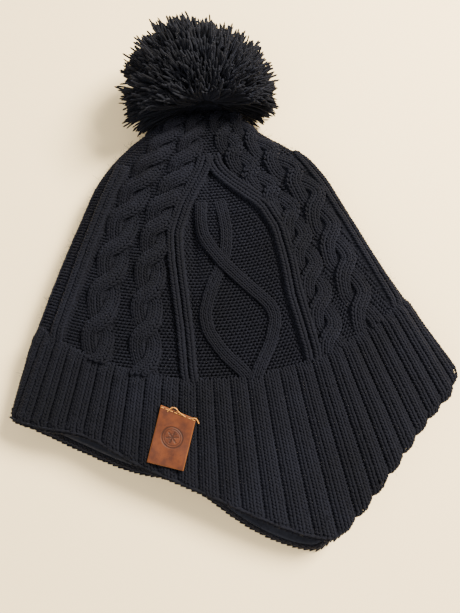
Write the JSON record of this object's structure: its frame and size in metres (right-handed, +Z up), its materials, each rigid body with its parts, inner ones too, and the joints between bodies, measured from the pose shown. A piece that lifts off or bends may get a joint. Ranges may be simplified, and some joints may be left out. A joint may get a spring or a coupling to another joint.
{
  "type": "ear flap beanie",
  "caption": "Fleece-lined cable-knit winter hat with ear flaps, a ribbed band, a yarn pompom and a leather label, lying flat on its side.",
  "frame": {"origin": "middle of the flat-lying hat's outline, on the surface it lies on", "axes": "+X towards the nape, +Y towards the crown and pompom, +Z up from the surface it lies on"},
  "size_m": [0.2494, 0.2988, 0.071],
  "materials": {
    "knit": "matte",
    "fleece": "matte",
    "pompom_yarn": "matte",
    "leather": "satin",
    "thread": "satin"
  },
  "bodies": {
    "hat": {"cable_crown_near": "knit", "cable_crown_far": "knit", "rib_band_near": "knit", "rib_band_far": "knit", "back_seam": "knit", "crown_gather": "knit", "anchor_knot": "pompom_yarn", "lining_near": "fleece", "lining_far": "fleece", "hem_edge_near": "knit", "hem_edge_far": "knit", "label_stitching": "thread"},
    "near_flap": {"ear_flap_near": "knit", "flap_lining_near": "fleece", "flap_edge_near": "knit"},
    "far_flap": {"ear_flap_far": "knit", "flap_lining_far": "fleece", "flap_edge_far": "knit"},
    "pompom_stem": {"pompom_tails": "pompom_yarn"},
    "pompom": {"pompom_tie": "pompom_yarn", "pompom_yarn": "pompom_yarn"},
    "label": {"leather_label": "leather"}
  },
  "joints": [
    {"name": "near_flap_fold", "type": "hinge", "parent": "hat", "child": "near_flap", "pos_m": [0.03831, -0.10545, 0.0222], "axis": [-0.9919, -0.1271, 0], "range_deg": [0, 160]},
    {"name": "far_flap_fold", "type": "hinge", "parent": "hat", "child": "far_flap", "pos_m": [0.03207, -0.11323, 0], "axis": [0.9945, 0.1045, 0], "range_deg": [0, 160]},
    {"name": "pompom_tip", "type": "hinge", "parent": "hat", "child": "pompom_stem", "pos_m": [-0.00096, 0.10705, 0.013], "axis": [-1, 0, 0], "range_deg": [0, 20]},
    {"name": "pompom_swing", "type": "hinge", "parent": "pompom_stem", "child": "pompom", "pos_m": [-0.00096, 0.10705, 0.013], "axis": [0, 0, 1], "range_deg": [-15, 15]},
    {"name": "label_lift", "type": "hinge", "parent": "hat", "child": "label", "pos_m": [-0.03121, -0.06851, 0.02676], "axis": [-0.9432, 0.3322, 0], "range_deg": [0, 150]}
  ]
}
